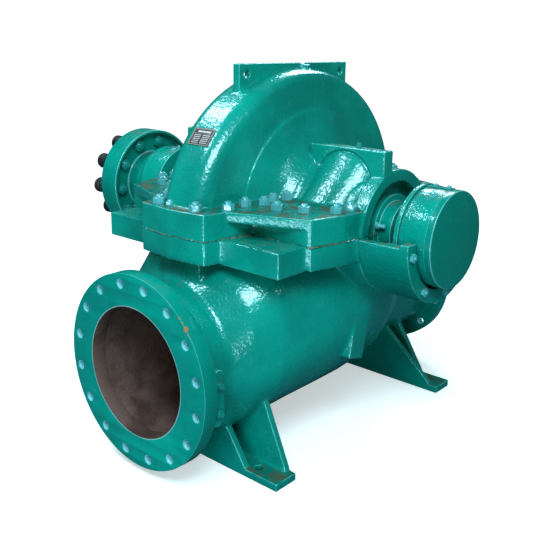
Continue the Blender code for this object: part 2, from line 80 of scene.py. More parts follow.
camera = {
    "place": (1.575, -1.767, 1.1245),
    "azimuth": 40.43,
    "elevation": 14.54,
    "roll": 1.10,
    "lens": 51.665,
    "sensor": 36,
    "shift": (-0.02166, -0.05918),
    "farthest": 60,
}


def placeCamera(values):
    azimuth, elevation, roll = (math.radians(values[key]) for key in ("azimuth", "elevation", "roll"))
    ahead = Vector((-math.sin(azimuth) * math.cos(elevation), math.cos(azimuth) * math.cos(elevation),
                    -math.sin(elevation)))
    right = Vector((math.cos(azimuth), math.sin(azimuth), 0))
    above = right.cross(ahead)
    sideways = right * math.cos(roll) + above * math.sin(roll)
    upwards = above * math.cos(roll) - right * math.sin(roll)
    data = bpy.data.cameras.new("photoCamera")
    data.lens, data.sensor_width, data.clip_end = values["lens"], values["sensor"], values["farthest"]
    data.shift_x, data.shift_y = values["shift"]
    holder = newObject("photoCamera", data)
    turn = Matrix((sideways, upwards, -ahead)).transposed().to_4x4()
    holder.matrix_world = Matrix.Translation(values["place"]) @ turn
    bpy.context.scene.camera = holder


lightTint = (0.57, 0.82, 1.0)
lights = {
    # place, what it points at, width and height, watts
    "lowStrip": ((0.93, -2.33, 0.13), (0.25, -0.45, 0.13), (2.1, 0.24), 17),
    "wideBox": ((1.70, -1.95, 2.75), (0.1, 0, 0.62), (1.6, 1.1), 80),
    "highRight": ((2.7, -0.3, 2.5), (0.1, 0, 0.6), (0.6, 0.6), 7),
    "leftFront": ((-0.85, -1.49, 2.7), (0.1, 0, 0.6), (0.45, 0.45), 20),
    "topLeft": ((-1.75, -0.30, 3.05), (0.1, 0, 0.6), (0.5, 0.7), 27),
    "backBox": ((-0.9, 2.1, 2.7), (0.1, 0, 0.6), (0.9, 0.6), 40),
}


def softLight(name, place, target, size, power):
    # a rectangular lamp that faces its target
    data = bpy.data.lights.new(name, "AREA")
    data.shape = "RECTANGLE"
    data.size, data.size_y = size
    data.energy, data.color = power, lightTint
    lamp = newObject(name, data)
    lamp.location = place
    lamp.rotation_euler = (Vector(target) - Vector(place)).to_track_quat("-Z", "Y").to_euler()


studio = {
    # colour and strength of the even fill, of what gloss mirrors, and of what the camera sees
    "fill": {"Color": (0.50, 0.90, 0.92, 1), "Strength": 0.38},
    "mirrored": {"Color": (0.20, 0.75, 0.80, 1), "Strength": 0.16},
    "seen": {"Color": (0.8, 0.8, 0.8, 1), "Strength": 1.2},
    "view": "Standard",
    "look": "Medium High Contrast",
}


def whiteStudio(values):
    # a plain white surround behind the floor, an even fill light, and a dim one for reflections
    world = bpy.data.worlds.new("paleStudio")
    bpy.context.scene.world = world
    world.use_nodes = True
    tree = world.node_tree
    fill = tree.nodes["Background"]
    feed(tree, fill, values["fill"])
    mirrored = addNode(tree, "ShaderNodeBackground", values["mirrored"])
    seen = addNode(tree, "ShaderNodeBackground", values["seen"])
    path = addNode(tree, "ShaderNodeLightPath").outputs
    shine = addNode(tree, "ShaderNodeMixShader",
                    {0: path["Is Glossy Ray"], 1: fill.outputs[0], 2: mirrored.outputs[0]})
    either = addNode(tree, "ShaderNodeMixShader",
                     {0: path["Is Camera Ray"], 1: shine.outputs[0], 2: seen.outputs[0]})
    feed(tree, tree.nodes["World Output"], {"Surface": either.outputs[0]})
    bpy.context.scene.view_settings.view_transform = values["view"]
    bpy.context.scene.view_settings.look = values["look"]


placeCamera(camera)
for name, values in lights.items():
    softLight(name, *values)
whiteStudio(studio)
print("camera and light placed")


def mathNode(tree, operation, *terms, clamp=False):
    made = addNode(tree, "ShaderNodeMath", dict(enumerate(terms)), operation=operation, use_clamp=clamp)
    return made.outputs[0]


def times(tree, first, second, clamp=False):
    return mathNode(tree, "MULTIPLY", first, second, clamp=clamp)


def timesPlus(tree, first, second, third):
    return mathNode(tree, "MULTIPLY_ADD", first, second, third)


def minus(tree, first, second, clamp=False):
    return mathNode(tree, "SUBTRACT", first, second, clamp=clamp)


def ramp(tree, value, low, high, toLow=0.0, toHigh=1.0, smooth=True):
    inputs = {"Value": value, "From Min": low, "From Max": high, "To Min": toLow, "To Max": toHigh}
    curve = "SMOOTHSTEP" if smooth else "LINEAR"
    return addNode(tree, "ShaderNodeMapRange", inputs, clamp=True, interpolation_type=curve).outputs["Result"]


def noise(tree, vector, scale, detail=2.0, rough=0.5, distort=0.0):
    inputs = {"Vector": vector, "Scale": scale, "Detail": detail, "Roughness": rough, "Distortion": distort}
    return addNode(tree, "ShaderNodeTexNoise", inputs).outputs[0]


def mixColour(tree, share, first, second, blend="MIX"):
    made = addNode(tree, "ShaderNodeMix", {0: share, 6: first, 7: second},
                   data_type="RGBA", blend_type=blend, clamp_factor=True)
    return made.outputs[2]


def splitVector(tree, vector):
    return addNode(tree, "ShaderNodeSeparateXYZ", {0: vector}).outputs


def newTree(kind, name, inputs, outputs):
    # an input is given its default, or only its kind
    kinds = {float: "Float", int: "Int", tuple: "Color"}
    tree = bpy.data.node_groups.new(name, kind)
    for label, value in inputs.items():
        fixed = not isinstance(value, str)
        socketKind = "NodeSocket" + (kinds[type(value)] if fixed else value)
        socket = tree.interface.new_socket(label, in_out="INPUT", socket_type=socketKind)
        if fixed:
            socket.default_value = value
    for label, socketKind in outputs.items():
        tree.interface.new_socket(label, in_out="OUTPUT", socket_type="NodeSocket" + socketKind)
    given = tree.nodes.new("NodeGroupInput").outputs
    return tree, given, tree.nodes.new("NodeGroupOutput")


brushing = {
    "clouds": 4.5,
    "mottle": 34.0,
    "grain": 190.0,
    "dimples": 120.0,
    "strokes": (95, 80, 14),   # brush marks run upwards
}


def paintGroup(scales):
    # thick glossy enamel brushed over a rough casting
    group, given, result = newTree(
        "ShaderNodeTree", "brushedEnamel",
        {"Vector": "Vector", "Up": 0.0, "Edge": 0.0, "CreaseShade": 0.0, "Paint": (0, 0.3, 0.25, 1),
         "Deep": (0, 0.15, 0.13, 1), "Pale": (0.4, 0.7, 0.65, 1), "StainAndShade": (0.2, 0.15, 0.1, 1),
         "Coarseness": 1.0, "StainAndShading": 0.5},
        {"Color": "Color", "Roughness": "Float", "Height": "Float", "Gloss": "Float"})
    vector = given["Vector"]
    cloud = noise(group, vector, scales["clouds"], 3.0, 0.55)
    mottle = noise(group, vector, scales["mottle"], 4.0, 0.6)
    grain = noise(group, vector, scales["grain"])
    stretched = addNode(group, "ShaderNodeMapping", {"Vector": vector, "Scale": scales["strokes"]})
    brush = noise(group, stretched.outputs[0], 1.0, 3.0, 0.6, 0.6)
    dimple = addNode(group, "ShaderNodeTexVoronoi",
                     {"Vector": vector, "Scale": scales["dimples"], "Smoothness": 0.6}, feature="SMOOTH_F1")
    colour = mixColour(group, ramp(group, cloud, 0.3, 0.72), given["Deep"], given["Paint"])
    # a faint pale mottle: painted glints of the hammered paint
    colour = mixColour(group, ramp(group, mottle, 0.55, 0.80, 0.0, 0.05), colour, given["Pale"])
    # painted shade: the paint gets darker in the creases, where shade gathers
    creaseShade = times(group, given["CreaseShade"], ramp(group, mottle, 0.25, 0.6, 0.35, 1.0))
    colour = mixColour(group, times(group, creaseShade, 0.55), colour, given["Deep"])
    # a brown layer on flat tops: dust, and painted shade with a painted dark reflection that darken the tops
    topDustAndShade = times(group, ramp(group, given["Up"], 0.80, 0.97), ramp(group, mottle, 0.44, 0.60))
    topDustAndShade = times(group, topDustAndShade, given["StainAndShading"])
    colour = mixColour(group, topDustAndShade, colour, given["StainAndShade"])
    # thin paint on the edges, with a painted highlight along them
    wearAndGlint = mathNode(group, "ADD", given["Edge"], timesPlus(group, mottle, 0.9, -0.55))
    wearAndGlint = times(group, ramp(group, wearAndGlint, 0.15, 0.75), ramp(group, given["Edge"], 0.05, 0.4))
    colour = mixColour(group, times(group, wearAndGlint, 0.5), colour, given["Pale"])
    rough = mathNode(group, "ADD", ramp(group, mottle, 0.3, 0.75, 0.22, 0.40), times(group, topDustAndShade, 0.3))
    height = times(group, dimple.outputs["Distance"], 0.9)
    for layer, share in ((brush, 1.1), (mottle, 1.1), (grain, 0.25)):
        height = timesPlus(group, layer, share, height)
    feed(group, result, {"Color": colour, "Roughness": rough,
                         "Height": times(group, height, given["Coarseness"]),
                         "Gloss": minus(group, 1.0, topDustAndShade, clamp=True)})
    return group


def ironGroup():
    # oily machined steel or bare cast iron with brown bloom
    group, given, result = newTree(
        "ShaderNodeTree", "bareIron",
        {"Vector": "Vector", "Metal": (0.2, 0.2, 0.2, 1), "Bloom": (0.1, 0.05, 0.03, 1), "Amount": 0.4},
        {"Color": "Color", "Roughness": "Float", "Height": "Float"})
    cloud = noise(group, given["Vector"], 9.0, 5.0, 0.62, 0.3)
    grain = noise(group, given["Vector"], 240.0, 3.0, 0.6)
    share = times(group, ramp(group, cloud, 0.35, 0.68), given["Amount"], clamp=True)
    colour = mixColour(group, share, given["Metal"], given["Bloom"])
    colour = mixColour(group, ramp(group, grain, 0.35, 0.75, 0.0, 0.25), colour, (0, 0, 0, 1))
    feed(group, result, {"Color": colour, "Roughness": ramp(group, cloud, 0.3, 0.7, 0.32, 0.62),
                         "Height": timesPlus(group, cloud, 1.2, times(group, grain, 0.4))})
    return group


brushedEnamel = paintGroup(brushing)
bareIron = ironGroup()
print("shader groups made")


def newMaterial(name):
    # the material, its tree and shader, and the object's own coordinates
    material = bpy.data.materials.new(name)
    material.use_nodes = True
    tree = material.node_tree
    return material, tree, tree.nodes["Principled BSDF"], addNode(tree, "ShaderNodeTexCoord").outputs


def useGroup(tree, group, inputs):
    return addNode(tree, "ShaderNodeGroup", inputs, node_tree=group).outputs


def bumpInto(tree, height, shader, strength, distance):
    bump = addNode(tree, "ShaderNodeBump", {"Strength": strength, "Distance": distance, "Height": height})
    feed(tree, shader, {"Normal": bump.outputs["Normal"]})
    return bump.outputs["Normal"]


def attributeOf(tree, name):
    return addNode(tree, "ShaderNodeAttribute", attribute_name=name).outputs["Fac"]


enamel = {
    # what every paint has unless its own line below says otherwise
    "paint": (0.0, 0.330, 0.240, 1),
    "deep": (0.0, 0.230, 0.170, 1),      # a darker tone for thick paint, and the colour of the painted shade in creases
    "pale": (0.36, 0.66, 0.60, 1),       # rubbed pale edges with painted highlights, and a faint painted glint in the mottle
    # brown of the dust on the tops, also used for their painted shade and dark reflection
    "stainAndShade": (0.200, 0.150, 0.085, 1),
    "coarseness": 1.0,
    "stainAndShading": 0.5,
    "bores": False,                      # with bare bores, chips, and an oily flange top darkened also by painted shade
    "bump": 0.5,
    "relief": 0.0012,
    "coat": 0.6,
    "blur": 0.07,                        # roughness of the clear coat
    "bend": 1.5,                         # and its refraction
    "shine": 0.2,
}
enamels = {
    "castEnamel": {"coarseness": 1.1, "stainAndShading": 0.9, "bores": True, "bump": 0.55, "coat": 1.0,
                   "blur": 0.20, "bend": 1.7},
    "roughEnamel": {"coarseness": 1.4, "stainAndShading": 0.75},
    "smoothEnamel": {"coarseness": 0.5, "stainAndShading": 0.45},
    "plateEnamel": {"coarseness": 0.7, "bores": True, "blur": 0.12},
    # painted light: the walls of the bolt holes are pale, as if lit through the holes
    "litHoleEnamel": {"coarseness": 0.5, "stainAndShading": 0.1, "paint": (0.42, 0.76, 0.76, 1),
                   "deep": (0.30, 0.64, 0.64, 1), "coat": 1.0, "bend": 1.9, "shine": 0.6},
    # pale paint on the nuts: rubbed bare metal, and a painted sheen for the faces that catch the light
    "nutEnamel": {"coarseness": 0.15, "stainAndShading": 0.8, "paint": (0.19, 0.54, 0.53, 1),
                  "deep": (0.09, 0.40, 0.39, 1), "coat": 1.0, "bend": 2.0, "shine": 0.7},
    "pinNutEnamel": {"coarseness": 0.3, "stainAndShading": 0.2, "paint": (0.03, 0.33, 0.29, 1),
                     "coat": 1.0, "bend": 2.0, "shine": 0.7},
    # painted shade: the end covers, which face away from the lamps, get darker paint
    "shadedCoverEnamel": {"coarseness": 0.6, "stainAndShading": 0.3, "paint": (0.0, 0.235, 0.165, 1)},
}
bareSpots = {
    "iron": {"Metal": (0.230, 0.125, 0.098, 1), "Bloom": (0.095, 0.046, 0.034, 1), "Amount": 0.9},
    "rim": (0.50, 0.56, 0.54, 1),        # scraped edge of the suction bore
    "rimShare": 0.7,
    "oilAndShade": (0.30, 0.45, 0.40, 1),        # darkens the flange top and the feet's tops: oily grime, and painted shade
    "chip": (0.52, 0.20, 0.09, 1),
    "soles": (0.026, 0.034),             # heights between which the dirt and painted shade on the feet end
    "topDirtAndShadeSteps": (-0.012, -0.006, 0.004, 0.012),   # where the brown layer and painted shade start and end about the flange top
    "boreEdge": (0.0008, 0.0016),        # beyond a bore's radius, where the bare iron ends
    "rimSteps": (0.0004, 0.0012, 0.0025, 0.0037),   # the same for the scraped edge
    "rimDepth": (0.010, 0.004),          # behind the flange's face
    "chips": [((0.199, -0.610, 0.455), 0.010), ((0.186, -0.610, 0.468), 0.0045),
              ((0.177, -0.610, 0.478), 0.005), ((0.206, -0.610, 0.441), 0.003)],
}


def enamelMaterial(name, values):
    material, tree, shader, coords = newMaterial(name)
    place, upward = coords["Object"], splitVector(tree, coords["Normal"])["Z"]
    stainAndShading = values["stainAndShading"]
    if values["bores"]:
        topDirtAndShade = flangeTopDirtAndShade(tree, place, upward)
        stainAndShading = timesPlus(tree, topDirtAndShade, stainAndShading * 0.75, stainAndShading * 0.25)
    out = useGroup(tree, brushedEnamel, {
        "Vector": place, "Up": upward, "Edge": attributeOf(tree, "edgeWearAndGlint"),
        "CreaseShade": attributeOf(tree, "creaseShade"), "Paint": values["paint"], "Deep": values["deep"],
        "Pale": values["pale"], "StainAndShade": values["stainAndShade"], "Coarseness": values["coarseness"],
        "StainAndShading": stainAndShading})
    colour, rough, gloss = out["Color"], out["Roughness"], out["Gloss"]
    if values["bores"]:
        inside, rim = boreMasks(tree, place)
        chipped = chipMask(tree, place)
        iron = useGroup(tree, bareIron, {"Vector": place, **bareSpots["iron"]})
        # painted shade: the flat tops and the feet's tops are darkened, together with the oily tint
        colour = mixColour(tree, times(tree, topDirtAndShade, 0.5), colour, bareSpots["oilAndShade"], "MULTIPLY")
        colour = mixColour(tree, inside, colour, iron["Color"])
        colour = mixColour(tree, rim, colour, bareSpots["rim"])
        colour = mixColour(tree, chipped, colour, bareSpots["chip"])
        rough = timesPlus(tree, inside, 0.30, rough)
        for bare in (inside, chipped):
            gloss = times(tree, gloss, minus(tree, 1.0, bare))
    relief = bumpInto(tree, out["Height"], shader, values["bump"], values["relief"])
    feed(tree, shader, {
        "Base Color": colour, "Roughness": rough, "Coat Weight": times(tree, gloss, values["coat"]),
        "Coat Roughness": values["blur"], "Coat IOR": values["bend"], "Coat Normal": relief,
        "Specular IOR Level": values["shine"]})
    return material


def flangeTopDirtAndShade(tree, vector, upward):
    # one on the flat top of the split flange and on the feet, where dust, oily grime and a brown layer
    # gather, and where painted shade darkens the tops
    height = splitVector(tree, vector)["Z"]
    low, full, most, high = (flangeTop + step for step in bareSpots["topDirtAndShadeSteps"])
    band = times(tree, ramp(tree, height, low, full), ramp(tree, height, most, high, 1.0, 0.0))
    soles = ramp(tree, height, *bareSpots["soles"], 0.8, 0.0)
    return times(tree, mathNode(tree, "ADD", band, soles), ramp(tree, upward, 0.7, 0.95))


def boreMasks(tree, vector):
    # how far a point is from the nozzles' common axis tells the unpainted bores from the painted casting
    parts = splitVector(tree, vector)
    across, upright = minus(tree, parts["X"], shift), minus(tree, parts["Z"], nozzleHeight)
    squares = mathNode(tree, "ADD", times(tree, across, across), times(tree, upright, upright))
    radius = mathNode(tree, "SQRT", squares)
    front = mathNode(tree, "LESS_THAN", parts["Y"], 0.0)
    wide, narrow = pump["suctionBore"], pump["dischargeBore"]
    near, far = bareSpots["boreEdge"]
    suction = times(tree, ramp(tree, radius, wide + near, wide + far, 1.0, 0.0), front)
    rear = minus(tree, 1.0, front)
    discharge = times(tree, ramp(tree, radius, narrow + near, narrow + far, 1.0, 0.0), rear)
    inside = mathNode(tree, "ADD", suction, discharge, clamp=True)
    low, full, most, high = (wide + step for step in bareSpots["rimSteps"])
    rim = times(tree, ramp(tree, radius, low, full), ramp(tree, radius, most, high, 1.0, 0.0))
    deep, shallow = (depth - faceReach for depth in bareSpots["rimDepth"])
    rim = times(tree, times(tree, rim, front), ramp(tree, parts["Y"], deep, shallow))
    return inside, times(tree, rim, bareSpots["rimShare"])


def chipMask(tree, vector):
    # small spots where the paint has broken away, with uneven outlines
    ragged = noise(tree, vector, 150.0, 2.0, 0.6)
    total = 0.0
    for (x, y, z), radius in bareSpots["chips"]:
        away = addNode(tree, "ShaderNodeVectorMath", {0: vector, 1: (x + shift, y, z)}, operation="DISTANCE")
        share = mathNode(tree, "DIVIDE", away.outputs["Value"], radius)
        share = timesPlus(tree, ragged, 1.3, minus(tree, share, 0.65))
        total = mathNode(tree, "MAXIMUM", total, ramp(tree, share, 0.70, 0.85, 1.0, 0.0))
    return total


steel = {"metal": (0.42, 0.42, 0.41, 1), "bloom": (0.16, 0.10, 0.06, 1), "amount": 0.5}


def steelMaterial(name, values):
    material, tree, shader, coords = newMaterial(name)
    out = useGroup(tree, bareIron, {"Vector": coords["Object"], "Metal": values["metal"],
                                    "Bloom": values["bloom"], "Amount": values["amount"]})
    feed(tree, shader, {"Base Color": out["Color"], "Roughness": out["Roughness"], "Metallic": 1.0})
    bumpInto(tree, out["Height"], shader, 0.25, 0.0004)
    return material


rubber = {
    "black": (0.020, 0.017, 0.015, 1),
    "dusty": (0.060, 0.045, 0.034, 1),
    "specks": (0.14, 0.12, 0.10, 1),
}


def rubberMaterial(name, values):
    material, tree, shader, coords = newMaterial(name)
    speck = noise(tree, coords["Object"], 160.0, 3.0, 0.6)
    cloud = noise(tree, coords["Object"], 30.0)
    colour = mixColour(tree, ramp(tree, cloud, 0.4, 0.7), values["black"], values["dusty"])
    colour = mixColour(tree, ramp(tree, speck, 0.6, 0.8, 0.0, 0.5), colour, values["specks"])
    feed(tree, shader, {"Base Color": colour, "Roughness": ramp(tree, speck, 0.3, 0.7, 0.35, 0.6)})
    bumpInto(tree, speck, shader, 0.2, 0.0004)
    return material


paints = {name: enamelMaterial(name, {**enamel, **own}) for name, own in enamels.items()}
shaftSteel = steelMaterial("shaftSteel", steel)
bushRubber = rubberMaterial("bushRubber", rubber)
print("materials made")

# Castings get a skin with rounded edges and filled corners, taken from the frame's own solids.
skins = {
    "quickVoxel": 1.7,
    "rounds": 1,             # how often all edges are softened
    "melts": 18,             # how often gently bent surfaces are smoothed
    "edgeBend": 0.10,        # the bend from which a crease counts as a real edge
    "pace": 0.5,             # share of the way to its neighbours' mean that a point goes each time
    "fillPace": 0.9,         # the same while inner corners are filled
    "fillFrom": 0.000004,    # a shallower corner isn't filled
    "lastPace": 0.4,
    "normalsEvery": 6,       # fillets between two readings of the normals
    "cutReach": 3,           # voxels that a flat end is lengthened by before it is cut
    "mergeShare": 0.2,       # of a voxel, within which the points of the cut are merged
    "edgeGain": (6.0, 0.35),     # steepness and start of the rubbed edges and their painted highlight
    "creaseShadeGain": (9.0, 0.3),    # the same for the painted shade in the creases
    "normalWeight": 60,
}
castings = {
    # voxel: grid size. fillets: how often only the inner corners are filled. limit: of triangles.
    # cut: the height of a crisp flat end, and the side that the air is on
    "lowerCasing": {"node": "lower_casing", "voxel": 0.0029, "fillets": 11, "limit": 190000,
                    "paint": "castEnamel", "cut": (shaftHeight, 1), "tuck": ("suction", "discharge")},
    "upperCasing": {"node": "upper_casing", "voxel": 0.0029 * 0.85, "fillets": 7, "limit": 190000,
                    "paint": "castEnamel", "cut": (shaftHeight + splitGap, -1), "tuck": ()},
}
for end in ("free_end", "drive_end"):
    castings["bearingBracket_" + end] = {"node": "bearing_bracket_" + end, "voxel": 0.0022, "fillets": 12,
                                         "limit": 60000, "paint": "roughEnamel", "cut": None, "tuck": ()}


def copyOfNode(name, source):
    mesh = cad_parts[source].data.copy()
    mesh.materials.clear()
    mergePoints(mesh, 0.00002)
    for label in [a.name for a in mesh.attributes if not a.is_internal and not a.is_required]:
        mesh.attributes.remove(mesh.attributes[label])
    return newObject(name, mesh)


def mergePoints(mesh, distance):
    shape = bmesh.new()
    shape.from_mesh(mesh)
    bmesh.ops.remove_doubles(shape, verts=shape.verts, dist=distance)
    shape.to_mesh(mesh)
    shape.free()


def applyModifiers(piece):
    graph = bpy.context.evaluated_depsgraph_get()
    mesh = bpy.data.meshes.new_from_object(piece.evaluated_get(graph))
    piece.modifiers.clear()
    piece.data = mesh


def readPoints(mesh):
    points = np.empty(len(mesh.vertices) * 3)
    mesh.vertices.foreach_get("co", points)
    return points.reshape(-1, 3)


def writePoints(mesh, points):
    mesh.vertices.foreach_set("co", points.ravel())
    mesh.update()


def readNormals(mesh):
    normals = np.empty(len(mesh.vertices) * 3, np.float32)
    mesh.vertex_normals.foreach_get("vector", normals)
    return normals.reshape(-1, 3).astype(float)


def neighbourMean(mesh):
    edges = np.empty(len(mesh.edges) * 2, np.int32)
    mesh.edges.foreach_get("vertices", edges)
    near, far = edges.reshape(-1, 2).T
    count = len(mesh.vertices)
    degree = np.maximum(np.bincount(edges, minlength=count), 1)

    def mean(values):
        columns = []
        for column in values.T:
            total = np.bincount(near, column[far], count) + np.bincount(far, column[near], count)
            columns.append(total / degree)
        return np.stack(columns, 1)

    return mean


def bendOf(mesh, mean, size):
    # above zero on outer edges, below zero in creases
    points = readPoints(mesh)
    return -((mean(points) - points) * readNormals(mesh)).sum(1) / size


def addValues(mesh, name, values):
    layer = mesh.attributes.get(name) or mesh.attributes.new(name, "FLOAT", "POINT")
    layer.data.foreach_set("value", values.astype(np.float32))


def addGain(mesh, name, bend, gain):
    steepness, start = gain
    addValues(mesh, name, np.clip(bend * steepness - start, 0, 1))


def softenMesh(mesh, fillets, size):
    mean = neighbourMean(mesh)
    points = readPoints(mesh)
    for _ in range(skins["rounds"]):
        points += skins["pace"] * (mean(points) - points)
    writePoints(mesh, points)
    creases = bendOf(mesh, mean, size)
    # how deep each crease is, for the painted shade that darkens it
    addGain(mesh, "creaseShade", -creases, skins["creaseShadeGain"])
    # the solids' flat strips melt into round surfaces, and real edges stay where they are
    calm = np.clip((skins["edgeBend"] - np.abs(creases)) / (0.5 * skins["edgeBend"]), 0, 1)[:, None]
    for _ in range(skins["melts"]):
        points += skins["pace"] * calm * (mean(points) - points)
    for step in range(fillets):
        if step % skins["normalsEvery"] == 0:
            writePoints(mesh, points)
            normals = readNormals(mesh)
        pull = mean(points) - points
        outward = np.maximum((pull * normals).sum(1) - skins["fillFrom"], 0.0)
        points += skins["fillPace"] * outward[:, None] * normals
    points += skins["lastPace"] * (mean(points) - points)
    writePoints(mesh, points)
    # the outer edges get pale paint: rubbed paint, and a painted highlight
    addGain(mesh, "edgeWearAndGlint", bendOf(mesh, mean, size), skins["edgeGain"])


flanges = {
    "suction": {"side": -1, "radius": 0.2625, "thick": 0.042, "bore": 0.1742, "holes": 16, "pitch": 0.235},
    "discharge": {"side": 1, "radius": 0.230, "thick": 0.032, "bore": 0.1492, "holes": 12, "pitch": 0.205},
    "hole": 0.013,
    "holeDepth": 0.030,      # how far the casting's own holes go on behind the plate
    "edge": 0.0012,
    "tuck": 0.0025,          # how far the casting's own flange is drawn in behind the plate
    "within": 0.0005,        # a point this near to a face or rim belongs to it
    "rimSteps": 144,
    "boreSteps": 112,
    "holeSteps": 28,
}


def holePlaces(values):
    for i in range(values["holes"]):
        angle = 2 * math.pi * (i + 0.5) / values["holes"]
        yield values["pitch"] * math.cos(angle), values["pitch"] * math.sin(angle)


def tuckFlange(points, values):
    # draws the casting's own flange a little inward, so that only the crisp plate shows
    side, tuck, within = values["side"], flanges["tuck"], flanges["within"]
    across = points[:, 0] - shift
    upright = points[:, 2] - nozzleHeight
    depth = faceReach - side * points[:, 1]
    near = depth < values["thick"] + within
    radius = np.maximum(np.hypot(across, upright), 0.001)
    rim = near & (np.abs(radius - values["radius"]) < 2 * within)
    shrink = np.where(rim, (radius - tuck) / radius, 1.0)
    newAcross, newUpright = across * shrink, upright * shrink
    for holeX, holeZ in holePlaces(values):
        offX, offZ = across - holeX, upright - holeZ
        gap = np.maximum(np.hypot(offX, offZ), 0.001)
        wall = (np.abs(gap - flanges["hole"]) < 2 * within) & (depth < values["thick"] + flanges["holeDepth"])
        newAcross += np.where(wall, offX / gap * tuck, 0)
        newUpright += np.where(wall, offZ / gap * tuck, 0)
    points[:, 0] = newAcross + shift
    points[:, 2] = newUpright + nozzleHeight
    points[:, 1] -= side * np.where(depth < within, tuck, 0)
    back = near & (depth > values["thick"] - within)
    points[:, 1] += side * np.where(back, tuck, 0)


def finishPiece(piece, material, body="body", angle=None):
    mesh = piece.data
    if material:
        mesh.materials.clear()
        mesh.materials.append(material)
    mesh.shade_smooth()
    if angle:
        mesh.set_sharp_from_angle(angle=math.radians(angle))
    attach(piece, body)


def countTriangles(mesh):
    return sum(len(face.vertices) - 2 for face in mesh.polygons)


def castSkin(name, values):
    voxel = values["voxel"] * 1
    cut, limit = values["cut"], values["limit"]
    piece = copyOfNode(name, values["node"])
    points = readPoints(piece.data)
    if cut:
        height, way = cut
        points[np.abs(points[:, 2] - height) < 0.00005, 2] += way * skins["cutReach"] * voxel
    for flange in values["tuck"]:
        tuckFlange(points, flanges[flange])
    writePoints(piece.data, points)
    skin = piece.modifiers.new("skin", "REMESH")
    skin.mode, skin.voxel_size = "VOXEL", voxel
    applyModifiers(piece)
    softenMesh(piece.data, values["fillets"], voxel)
    if cut:
        points = readPoints(piece.data)
        points[(points[:, 2] - height) * way > 0, 2] = height
        writePoints(piece.data, points)
        mergePoints(piece.data, voxel * skins["mergeShare"])
    triangles = countTriangles(piece.data)
    if triangles > limit:
        piece.modifiers.new("thin", "DECIMATE").ratio = limit / triangles
        applyModifiers(piece)
    piece.data.shade_smooth()
    even = piece.modifiers.new("even", "WEIGHTED_NORMAL")
    even.weight, even.keep_sharp = skins["normalWeight"], False
    applyModifiers(piece)
    finishPiece(piece, paints[values["paint"]])
    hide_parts(values["node"])
    print(name, triangles, "->", countTriangles(piece.data))


for name, values in castings.items():
    castSkin(name, values)
print("castings skinned")


def flangePlate(name, values):
    # a flat drawing of rim, bore and holes, extruded and set in front of the casting's own flange
    half, edge = values["thick"] / 2, flanges["edge"]
    drawing = bpy.data.curves.new(name, "CURVE")
    drawing.dimensions, drawing.fill_mode = "2D", "BOTH"
    rings = [(0, 0, values["radius"], flanges["rimSteps"]), (0, 0, values["bore"], flanges["boreSteps"])]
    rings += [(x, z, flanges["hole"], flanges["holeSteps"]) for x, z in holePlaces(values)]
    for x, z, radius, count in rings:
        line = drawing.splines.new("POLY")
        line.points.add(count - 1)
        line.use_cyclic_u = True
        for i, point in enumerate(line.points):
            angle = 2 * math.pi * i / count
            point.co = (x + radius * math.cos(angle), z + radius * math.sin(angle), 0, 1)
    drawing.extrude, drawing.bevel_depth, drawing.bevel_resolution = half - edge, edge, 1
    drawing.offset = -edge
    sketch = newObject(name + "Drawing", drawing)
    bpy.context.view_layer.update()
    mesh = bpy.data.meshes.new_from_object(sketch.evaluated_get(bpy.context.evaluated_depsgraph_get()))
    bpy.data.objects.remove(sketch)
    bpy.data.curves.remove(drawing)
    shape = bmesh.new()
    shape.from_mesh(mesh)
    bmesh.ops.remove_doubles(shape, verts=shape.verts, dist=0.00001)
    # the plate's rounded edges get pale paint: rubbed paint, and a painted highlight
    wornAndGlinting = shape.verts.layers.float.new("edgeWearAndGlint")
    for vertex in shape.verts:
        x, z, depth = vertex.co
        vertex[wornAndGlinting] = 1.0 if half - edge * 0.9 < abs(depth) < half - edge * 0.1 else 0.0
        vertex.co = (x + shift, values["side"] * (faceReach - half) + depth, z + nozzleHeight)
    bmesh.ops.recalc_face_normals(shape, faces=shape.faces)
    shape.to_mesh(mesh)
    shape.free()
    finishPiece(newObject(name, mesh), paints["plateEnamel"], angle=25)
    # the walls of the bolt holes get the pale paint: painted light
    mesh.materials.append(paints["litHoleEnamel"])
    places = list(holePlaces(values))
    for face in mesh.polygons:
        x, z = face.center[0] - shift, face.center[2] - nozzleHeight
        nearest = min(math.hypot(x - a, z - b) for a, b in places)
        inHole = abs(face.normal[1]) < 0.3 and nearest < flanges["hole"] + 2 * flanges["within"]
        face.material_index = 1 if inHole else 0


for flange in ("suction", "discharge"):
    flangePlate(flange + "Plate", flanges[flange])
print("flanges drilled")


def roundedProfile(corners, steps=5):
    # corners: (along, radius, rounding). Returns points (along, radius) and how much edge rubbing and painted
    # highlight each one gets.
    points, wornAndGlinting = [], []
    count = len(corners)
    for i, (along, radius, rounding) in enumerate(corners):
        here = Vector((along, radius))
        before = Vector(corners[i - 1][:2])
        after = Vector(corners[(i + 1) % count][:2])
        if rounding <= 0 or radius <= 0:
            points.append(here)
            wornAndGlinting.append(0.0)
            continue
        back, on = (before - here).normalized(), (after - here).normalized()
        half = back.angle(on) / 2
        reach = min(rounding / math.tan(half), (before - here).length * 0.45, (after - here).length * 0.45)
        middle = here + (back + on).normalized() * (reach / math.cos(half))
        start, end = here + back * reach, here + on * reach
        outer = (start - middle).cross(end - middle)
        span = (start - middle).angle(end - middle)
        for k in range(steps + 1):
            turn = Matrix.Rotation(math.copysign(span * k / steps, outer), 2)
            points.append(middle + turn @ (start - middle))
            wornAndGlinting.append(math.sin(math.pi * k / steps))
    return points, wornAndGlinting


